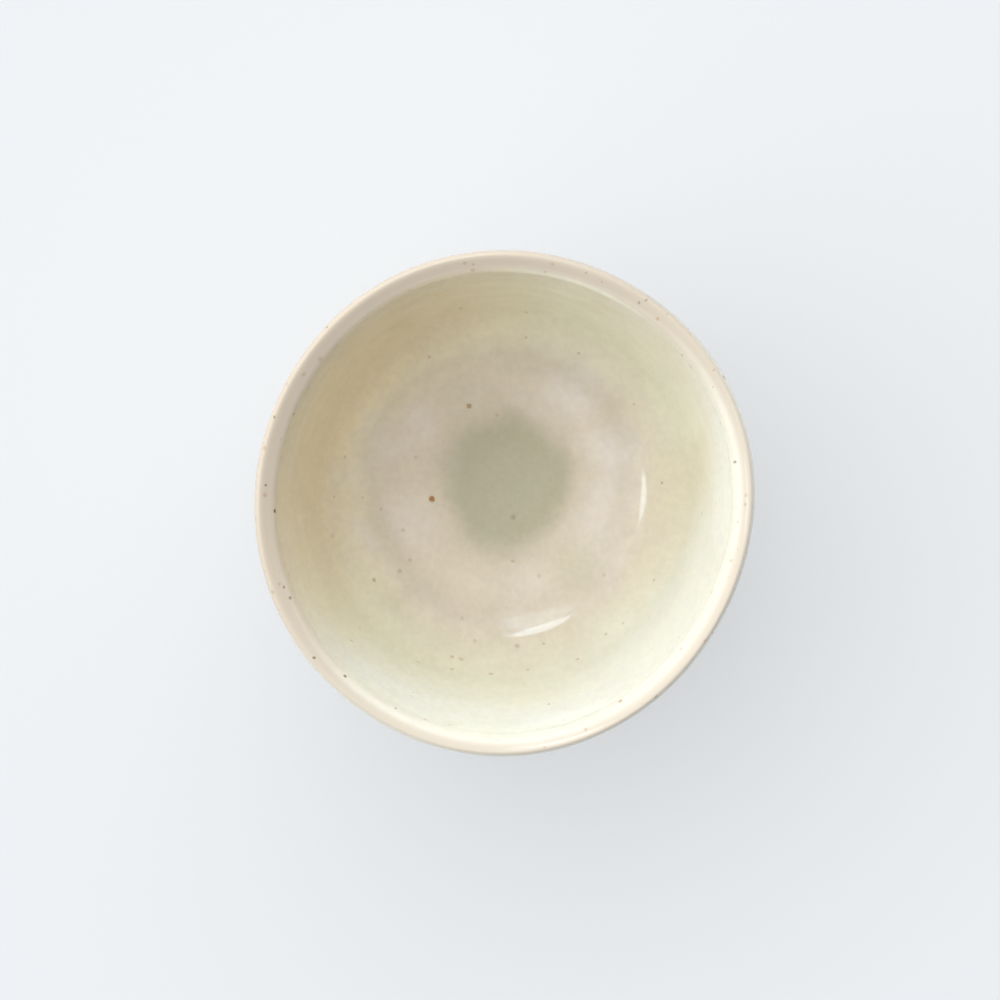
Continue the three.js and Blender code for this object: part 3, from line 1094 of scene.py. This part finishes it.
def glaze_surface_group():
    """Faint throwing rings under the glaze, its slight ripple and its roughness."""
    name = "glaze_surface"
    if name in bpy.data.node_groups:
        return bpy.data.node_groups[name]
    inputs = {"Place": "Vector", "Rings": "Float", "Gloss": "Float"}
    tree, given, out = new_group(name, inputs, {"Height": "Float", "Roughness": "Float"})
    place = given["Place"]
    parts = add(tree, "ShaderNodeSeparateXYZ", {0: place}).outputs
    turn = maths(tree, "ARCTAN2", parts["Y"], parts["X"])
    run = maths(tree, "MULTIPLY", flat_length(tree, place), math.tau / RING_SPACING)
    wander = maths(tree, "MULTIPLY", clouds(tree, place, RING_WANDER_CLOUD)["Fac"], RING_WANDER)
    rings = maths(tree, "SINE", maths(tree, "ADD", maths(tree, "ADD", run, turn), wander))
    rings = maths(tree, "MULTIPLY", rings, ramp(tree, parts["Z"], *RING_FADE))
    peel = clouds(tree, place, PEEL_CLOUD)["Fac"]
    height = maths(tree, "ADD", maths(tree, "MULTIPLY", rings, given["Rings"]), peel)
    tree.links.new(height, out["Height"])
    gloss = cloudy(tree, place, **UNEVEN_GLOSS)
    tree.links.new(maths(tree, "MULTIPLY", gloss, given["Gloss"]), out["Roughness"])
    return tree


def clay_body_group():
    """Turned bare clay: clouds, grog and tool lines."""
    name = "turned_clay"
    if name in bpy.data.node_groups:
        return bpy.data.node_groups[name]
    inputs = {"Place": "Vector", "Clay": "Color", "Shade": "Color", "Lines": "Float"}
    outputs = {"Color": "Color", "Roughness": "Float", "Height": "Float"}
    tree, given, out = new_group(name, inputs, outputs)
    place = given["Place"]
    height = add(tree, "ShaderNodeSeparateXYZ", {0: place}).outputs["Z"]
    run = maths(tree, "ADD", flat_length(tree, place), height)
    wander = maths(tree, "MULTIPLY", clouds(tree, place, LINE_WANDER_CLOUD)["Fac"], LINE_WANDER)
    shaken = add(tree, "ShaderNodeCombineXYZ", {"X": maths(tree, "ADD", run, wander)}).outputs[0]
    lines = clouds(tree, shaken, LINE_SIZE, GRAIN_DETAIL)["Fac"]
    grain = clouds(tree, place, GRAIN_SIZE, GRAIN_DETAIL, GRAIN_ROUGHNESS)["Fac"]
    colour = blend(tree, cloudy(tree, place, **CLAY_CLOUDS), given["Clay"], given["Shade"])
    colour = blend(tree, ramp(tree, lines, *LINE_SHADE), colour, given["Shade"])
    tree.links.new(blend(tree, ramp(tree, grain, *GRAIN_SHADE), colour, given["Shade"]), out["Color"])
    tree.links.new(ramp(tree, grain, *GRAIN_GLOSS), out["Roughness"])
    cut = maths(tree, "MULTIPLY", lines, given["Lines"])
    relief = maths(tree, "ADD", cut, maths(tree, "MULTIPLY", grain, GRAIN_RELIEF))
    tree.links.new(relief, out["Height"])
    return tree


# Materials


def new_material(name):
    """An empty material with a principled shader, and the place on the piece."""
    material = bpy.data.materials.new(name)
    material.use_nodes = True
    tree = material.node_tree
    tree.nodes.clear()
    shader = tree.nodes.new("ShaderNodeBsdfPrincipled")
    output = tree.nodes.new("ShaderNodeOutputMaterial")
    tree.links.new(shader.outputs["BSDF"], output.inputs["Surface"])
    place = tree.nodes.new("ShaderNodeTexCoord").outputs["Object"]
    return material, tree, shader.inputs, place


def bumped(tree, height, depth):
    """A normal from a height, with the depth of its relief in metres."""
    sockets = {"Height": height, "Distance": depth, "Strength": 1.0}
    return add(tree, "ShaderNodeBump", sockets).outputs["Normal"]


def specks(tree, place, strength, **sockets):
    """Mask of scattered iron specks."""
    mask = use_group(tree, iron_specks_group(), {"Place": place, **sockets})["Mask"]
    return maths(tree, "MULTIPLY", mask, strength)


def glaze(name, scene, gloss=0.08, rings=1.5, speck_gap=0.0034, spots=False, edge=None):
    """Glossy glaze with iron specks, thin over the lip or on the facets' ridges."""
    form, finish, stage = scene.cup_form, scene.cup_finish, scene.cup_stage
    material, tree, shader, place = new_material(name)
    shades = {shade: full(getattr(finish, shade.lower().replace(" ", "_"))) for shade in SHADES}
    if edge == "ridge":
        shades.update(dict.fromkeys(("Wall", "Pale", "Lime", "Floor"), full(finish.outside)))
        # The outside's straw follows the inside's mask of painted shade
        shades["Straw"] = full(finish.outside_straw)
    tints = use_group(tree, glaze_tint_group(form, stage), {"Place": place, **shades})
    colour = tints["Color"]
    if edge:
        thin = thin_mask(tree, form, place, tints["Dark side"], edge)
        colour = blend(tree, thin, colour, full(finish.thin))
    fine = specks(tree, place, FINE_STRENGTH, Spacing=speck_gap, **FINE_SPECKS)
    colour = blend(tree, fine, colour, full(finish.rust))
    coarse = specks(tree, place, COARSE_STRENGTH, **COARSE_SPECKS)
    colour = blend(tree, coarse, colour, full(finish.iron))
    if spots:
        marks = use_group(tree, iron_spots_group(form, stage), {"Place": place})
        colour = blend(tree, marks["Rust"], colour, full(finish.rust))
        colour = blend(tree, marks["Iron"], colour, full(finish.iron))
    tree.links.new(colour, shader["Base Color"])
    surface = use_group(tree, glaze_surface_group(), {"Place": place, "Rings": rings, "Gloss": gloss})
    tree.links.new(surface["Roughness"], shader["Roughness"])
    tree.links.new(bumped(tree, surface["Height"], GLAZE_RELIEF), shader["Normal"])
    return material


def thin_mask(tree, form, place, dark_side, edge):
    """Where the glaze ran thin: over the lip, where its reach by side is partly painted shade, or on the
    facets' ridges and near their top.
    """
    mark = add(tree, "ShaderNodeAttribute", attribute_name=edge).outputs["Fac"]
    parts = add(tree, "ShaderNodeSeparateXYZ", {0: place}).outputs
    if edge == "over_lip":
        # Painted shade: the darker thin glaze reaches further on the side away from the light and over the
        # lit inner bevel, and less far at the back
        mark = maths(tree, "SUBTRACT", mark, ramp(tree, parts["Y"], *LIP_BACK))
        step = ramp(tree, mark, *LIP_STEP, 0.0, ramp(tree, dark_side, *LIP_STEP_SHARE))
        slope_end = ramp(tree, dark_side, *LIP_SLOPE_END)
        slope_share = ramp(tree, dark_side, *LIP_SLOPE_SHARE)
        slope = ramp(tree, mark, LIP_SLOPE_START, slope_end, 0.0, slope_share)
        outer = ramp(tree, mark, *LIP_EDGE, 1.0, ramp(tree, dark_side, *LIP_EDGE_SHARE))
        top = maths(tree, "MULTIPLY", maths(tree, "MAXIMUM", step, slope), outer)
        below = ramp(tree, parts["Z"], form.height - form.lip_rise, form.height - form.lip_fall)
        return maths(tree, "MAXIMUM", top, maths(tree, "MULTIPLY", below, ramp(tree, mark, *LIP_OUTSIDE)))
    seam = form.height - form.lip_fall - form.lip_skirt
    ridges = maths(tree, "MULTIPLY", mark, cloudy(tree, place, **THIN_PATCHES))
    return maths(tree, "MAXIMUM", ridges, ramp(tree, parts["Z"], seam - THIN_SHOULDER, seam))


def bare_clay(name, scene, lines, relief):
    """Bare fired stoneware with tool lines."""
    finish = scene.cup_finish
    material, tree, shader, place = new_material(name)
    sockets = {"Place": place, "Clay": full(finish.clay), "Shade": full(finish.clay_shade), "Lines": lines}
    surface = use_group(tree, clay_body_group(), sockets)
    grog = specks(tree, place, GROG_STRENGTH, **GROG)
    colour = blend(tree, grog, surface["Color"], full(finish.iron))
    tree.links.new(colour, shader["Base Color"])
    tree.links.new(surface["Roughness"], shader["Roughness"])
    tree.links.new(bumped(tree, surface["Height"], relief), shader["Normal"])
    return material


def shown_instead(tree, end, other, share=1.0):
    """Shows a share of another shader to the camera and in gloss, and leaves the light as it is."""
    rays = tree.nodes.new("ShaderNodeLightPath").outputs
    seen = maths(tree, "MAXIMUM", rays["Is Camera Ray"], rays["Is Glossy Ray"])
    sockets = {0: maths(tree, "MULTIPLY", seen, share), 1: end.links[0].from_socket, 2: other}
    tree.links.new(add(tree, "ShaderNodeMixShader", sockets).outputs["Shader"], end)


def table_top(scene):
    """Plain pale table that shows the backdrop's colour in part, so that the shadow on it stays light."""
    material, tree, shader, _ = new_material("table_top")
    shader["Roughness"].default_value = TABLE_ROUGHNESS
    shader["Base Color"].default_value = full(scene.cup_finish.table)
    glow = add(tree, "ShaderNodeEmission", {"Color": full(scene.cup_finish.backdrop)}).outputs["Emission"]
    shown_instead(tree, tree.nodes["Material Output"].inputs["Surface"], glow, scene.cup_stage.table_lift)
    return material


def soft_sky(scene):
    """Light from overhead, from the horizon and mostly from one side, behind a plain pale backdrop."""
    finish, stage = scene.cup_finish, scene.cup_stage
    world = bpy.data.worlds.new("soft_sky")
    world.use_nodes = True
    tree = world.node_tree
    way = tree.nodes.new("ShaderNodeTexCoord").outputs["Generated"]
    rise = add(tree, "ShaderNodeSeparateXYZ", {0: way}).outputs["Z"]
    aside = ramp(tree, way_out(tree, way, stage.side_way), *SKY_FACING, 0.0, stage.sky_side)
    aside = maths(tree, "MULTIPLY", aside, ramp(tree, rise, *SKY_RISE))
    light = maths(tree, "ADD", ramp(tree, rise, *SKY_OVERHEAD, 0.0, stage.sky_high), aside)
    light = maths(tree, "ADD", ramp(tree, rise, *SKY_HORIZON, stage.sky_glow, 0.0), light)
    background = tree.nodes["Background"].inputs
    background["Color"].default_value = full(stage.sky)
    tree.links.new(maths(tree, "ADD", light, stage.sky_low), background["Strength"])
    backdrop = add(tree, "ShaderNodeBackground", {"Color": full(finish.backdrop)}).outputs["Background"]
    shown_instead(tree, tree.nodes["World Output"].inputs["Surface"], backdrop)
    return world


# Operators


class CUP_OT_clay(Operator):
    """Throws the clay cup, squeezes it and cuts its facets"""

    bl_idname = "cup.clay"
    bl_label = "Throw the Clay"

    def execute(self, context):
        form = context.scene.cup_form
        depth = form.coat + form.clay_gap
        line, _, _ = glazed_section(form)
        line = sunk(line, depth)
        bend = Vector((line[-1].x - form.base_edge, form.foot_height + form.base_edge))
        line += round_bend(bend, form.base_edge, 0.0, -math.pi / 2, BEND_STEPS)
        underside = Vector((0.0, form.foot_height))
        line += between(line[-1], underside, FLOOR_STEPS)
        piece = thrown("thrown_clay", line, CLAY_TURN_STEPS)
        dished(squeezed(piece, form), form)
        uneven(faceted(piece, form, depth))
        material = bare_clay("buff_stoneware", context.scene, lines=0.6, relief=0.00006)
        finished(smooth(piece), "clay_body", material)
        return {"FINISHED"}


class CUP_OT_foot(Operator):
    """Turns the foot ring under the base"""

    bl_idname = "cup.foot"
    bl_label = "Turn the Foot Ring"

    def execute(self, context):
        form = context.scene.cup_form
        inner, outer, edge = form.foot_radius - form.foot_width, form.foot_radius, form.foot_round
        top = form.foot_height
        line = [Vector((inner, top))]
        line += between(line[0], Vector((inner, edge)), BEND_STEPS)
        line += round_bend(Vector((inner + edge, edge)), edge, math.pi, 1.5 * math.pi, BEND_STEPS)[1:]
        line += between(line[-1], Vector((outer - edge, 0.0)), BEND_STEPS)
        line += round_bend(Vector((outer - edge, edge)), edge, -math.pi / 2, 0.0, BEND_STEPS)[1:]
        line += between(line[-1], Vector((outer, top)), BEND_STEPS)
        line += between(line[-1], line[0], BEND_STEPS)
        piece = thrown("turned_foot", line)
        edit(piece)
        bpy.ops.mesh.normals_make_consistent(inside=False)
        done(piece)
        material = bare_clay("turned_stoneware", context.scene, lines=1.0, relief=0.00008)
        finished(smooth(piece), "foot_ring", material)
        return {"FINISHED"}


class CUP_OT_inside(Operator):
    """Pours the glaze inside the cup"""

    bl_idname = "cup.inside"
    bl_label = "Glaze the Inside"

    def execute(self, context):
        form = context.scene.cup_form
        line, first, _ = glazed_section(form)
        piece = thrown("inside_coat", line[: first + 1])
        dished(squeezed(piece, form), form)
        coated(uneven(piece), form)
        material = glaze("inside_cream", context.scene, spots=True)
        finished(smooth(piece), "liner_glaze", material)
        return {"FINISHED"}


class CUP_OT_pool(Operator):
    """Fills the dish of the floor with pooled glaze"""

    bl_idname = "cup.pool"
    bl_label = "Pool the Glaze"

    def execute(self, context):
        form = context.scene.cup_form
        level = form.floor_height - form.pool_level
        line = []

        # The pool's underside falls as softly as the dish that it fills
        for step in range(FLOOR_STEPS + 1):
            share = step / FLOOR_STEPS
            rise = 1 - share
            fall = form.pool_depth * (3 * rise**2 - 2 * rise**3)
            line.append(Vector((share * form.pool_radius, level - fall)))
        line += between(line[-1], Vector((0.0, level)), FLOOR_STEPS)
        piece = thrown("pooled_glaze", line)
        edit(piece)
        bpy.ops.mesh.normals_make_consistent(inside=False)
        middle = pool_middle()
        bpy.ops.transform.translate(value=(middle.x, middle.y, 0.0))
        done(piece)
        material = glaze("pooled_celadon", context.scene, rings=0.3, spots=True)
        finished(smooth(piece), "glaze_pool", material)
        return {"FINISHED"}


class CUP_OT_lip(Operator):
    """Lays the thin glaze over the lip"""

    bl_idname = "cup.lip"
    bl_label = "Glaze the Lip"

    def execute(self, context):
        form = context.scene.cup_form
        line, first, last = glazed_section(form)
        piece = squeezed(thrown("lip_coat", line[first : last + 1]), form)
        coated(uneven(piece), form)
        mark_lip(piece, form)
        material = glaze(
            "thin_lip_glaze", context.scene,
            gloss=0.16, rings=0.2, speck_gap=0.0014, spots=True, edge="over_lip",
        )
        finished(smooth(piece), "lip_glaze", material)
        return {"FINISHED"}


class CUP_OT_facets(Operator):
    """Glazes the faceted outside down to the glaze line"""

    bl_idname = "cup.facets"
    bl_label = "Glaze the Facets"

    def execute(self, context):
        form = context.scene.cup_form
        line, _, last = glazed_section(form)
        piece = squeezed(thrown("facet_coat", line[last:]), form)
        uneven(faceted(piece, form))
        edit(piece)
        dip = Vector((0.0, 0.0, form.glaze_line))
        level = Vector((math.sin(form.glaze_tilt), 0.0, math.cos(form.glaze_tilt)))
        bpy.ops.mesh.bisect(plane_co=dip, plane_no=level, clear_inner=True)
        done(piece)
        coated(piece, form)
        edit(piece)
        bpy.ops.mesh.select_mode(type="EDGE")
        if not pick(piece, lambda place: abs((place - dip).dot(level)) < SAME_PLACE):
            raise RuntimeError("The outside glaze has no lower edge to round.")
        bpy.ops.mesh.bevel(offset=form.glaze_roll, segments=ROLL_STEPS, affect="EDGES")
        done(piece)
        mark_ridges(piece, form)
        material = glaze("facet_cream", context.scene, gloss=0.14, rings=0.3, edge="ridge")
        finished(smooth(piece), "outer_glaze", material)
        return {"FINISHED"}


class CUP_OT_stage(Operator):
    """Sets the table, the soft light, the gleams and the camera"""

    bl_idname = "cup.stage"
    bl_label = "Set the Stage"

    def execute(self, context):
        scene = context.scene
        form, stage = scene.cup_form, scene.cup_stage
        nothing_selected()
        bpy.ops.mesh.primitive_plane_add(size=TABLE_SIZE)
        table = context.object
        table.name = "table"
        table.data.materials.append(table_top(scene))
        target = Vector((0.0, 0.0, form.height / 2))
        gleams = (
            (
                "left_window", towards(stage.left_window, stage.window_rise), stage.left_roll,
                stage.left_width, stage.left_height, stage.left_power,
            ),
            (
                "back_window", towards(stage.back_window, stage.window_rise), stage.back_roll,
                stage.back_width, stage.back_height, stage.back_power,
            ),
            (
                "ceiling", towards(stage.ceiling_way, stage.ceiling_rise), 0.0,
                stage.ceiling_width, stage.ceiling_height, stage.ceiling_power,
            ),
        )
        for name, way, roll, width, height, power in gleams:
            bpy.ops.object.light_add(type="AREA", location=target + way * stage.window_distance)
            lamp = context.object
            lamp.name = name
            turn = way.to_track_quat("Z", "Y").to_matrix() @ Matrix.Rotation(roll, 3, "Z")
            lamp.rotation_euler = turn.to_euler()
            lamp.data.shape = "ELLIPSE"
            lamp.data.size, lamp.data.size_y = width, height
            lamp.data.energy = power
            lamp.data.color = stage.gleam
            lamp.visible_diffuse = False
        scene.world = soft_sky(scene)
        turn = camera_turn(form, stage).to_euler()
        bpy.ops.object.camera_add(location=camera_place(form, stage), rotation=turn)
        scene.camera = context.object
        scene.camera.data.sensor_width = SENSOR_WIDTH
        scene.camera.data.lens = stage.lens
        scene.view_settings.view_transform = "Standard"
        return {"FINISHED"}


class CUP_PT_panel(Panel):
    """Lists the steps of making the cup"""

    bl_idname = "CUP_PT_panel"
    bl_label = "Faceted Cup"
    bl_space_type = "VIEW_3D"
    bl_region_type = "UI"
    bl_category = "Cup"

    def draw(self, context):
        column = self.layout.column(align=True)
        for step in STEPS:
            column.operator(step.bl_idname)


STEPS = (
    CUP_OT_clay, CUP_OT_foot, CUP_OT_inside, CUP_OT_pool, CUP_OT_lip, CUP_OT_facets, CUP_OT_stage,
)
CLASSES = (CupForm, CupFinish, CupStage, *STEPS, CUP_PT_panel)


def register():
    """Adds the cup's classes and settings to Blender."""
    for kind in CLASSES:
        bpy.utils.register_class(kind)
    bpy.types.Scene.cup_form = PointerProperty(type=CupForm)
    bpy.types.Scene.cup_finish = PointerProperty(type=CupFinish)
    bpy.types.Scene.cup_stage = PointerProperty(type=CupStage)


def unregister():
    """Takes the cup's classes and settings out of Blender."""
    del bpy.types.Scene.cup_stage
    del bpy.types.Scene.cup_finish
    del bpy.types.Scene.cup_form
    for kind in reversed(CLASSES):
        bpy.utils.unregister_class(kind)


def main():
    """Makes the cup step by step."""
    register()
    bpy.ops.cup.clay()
    bpy.ops.cup.foot()
    bpy.ops.cup.inside()
    bpy.ops.cup.pool()
    bpy.ops.cup.lip()
    bpy.ops.cup.facets()
    bpy.ops.cup.stage()


if __name__ == "__main__":
    main()
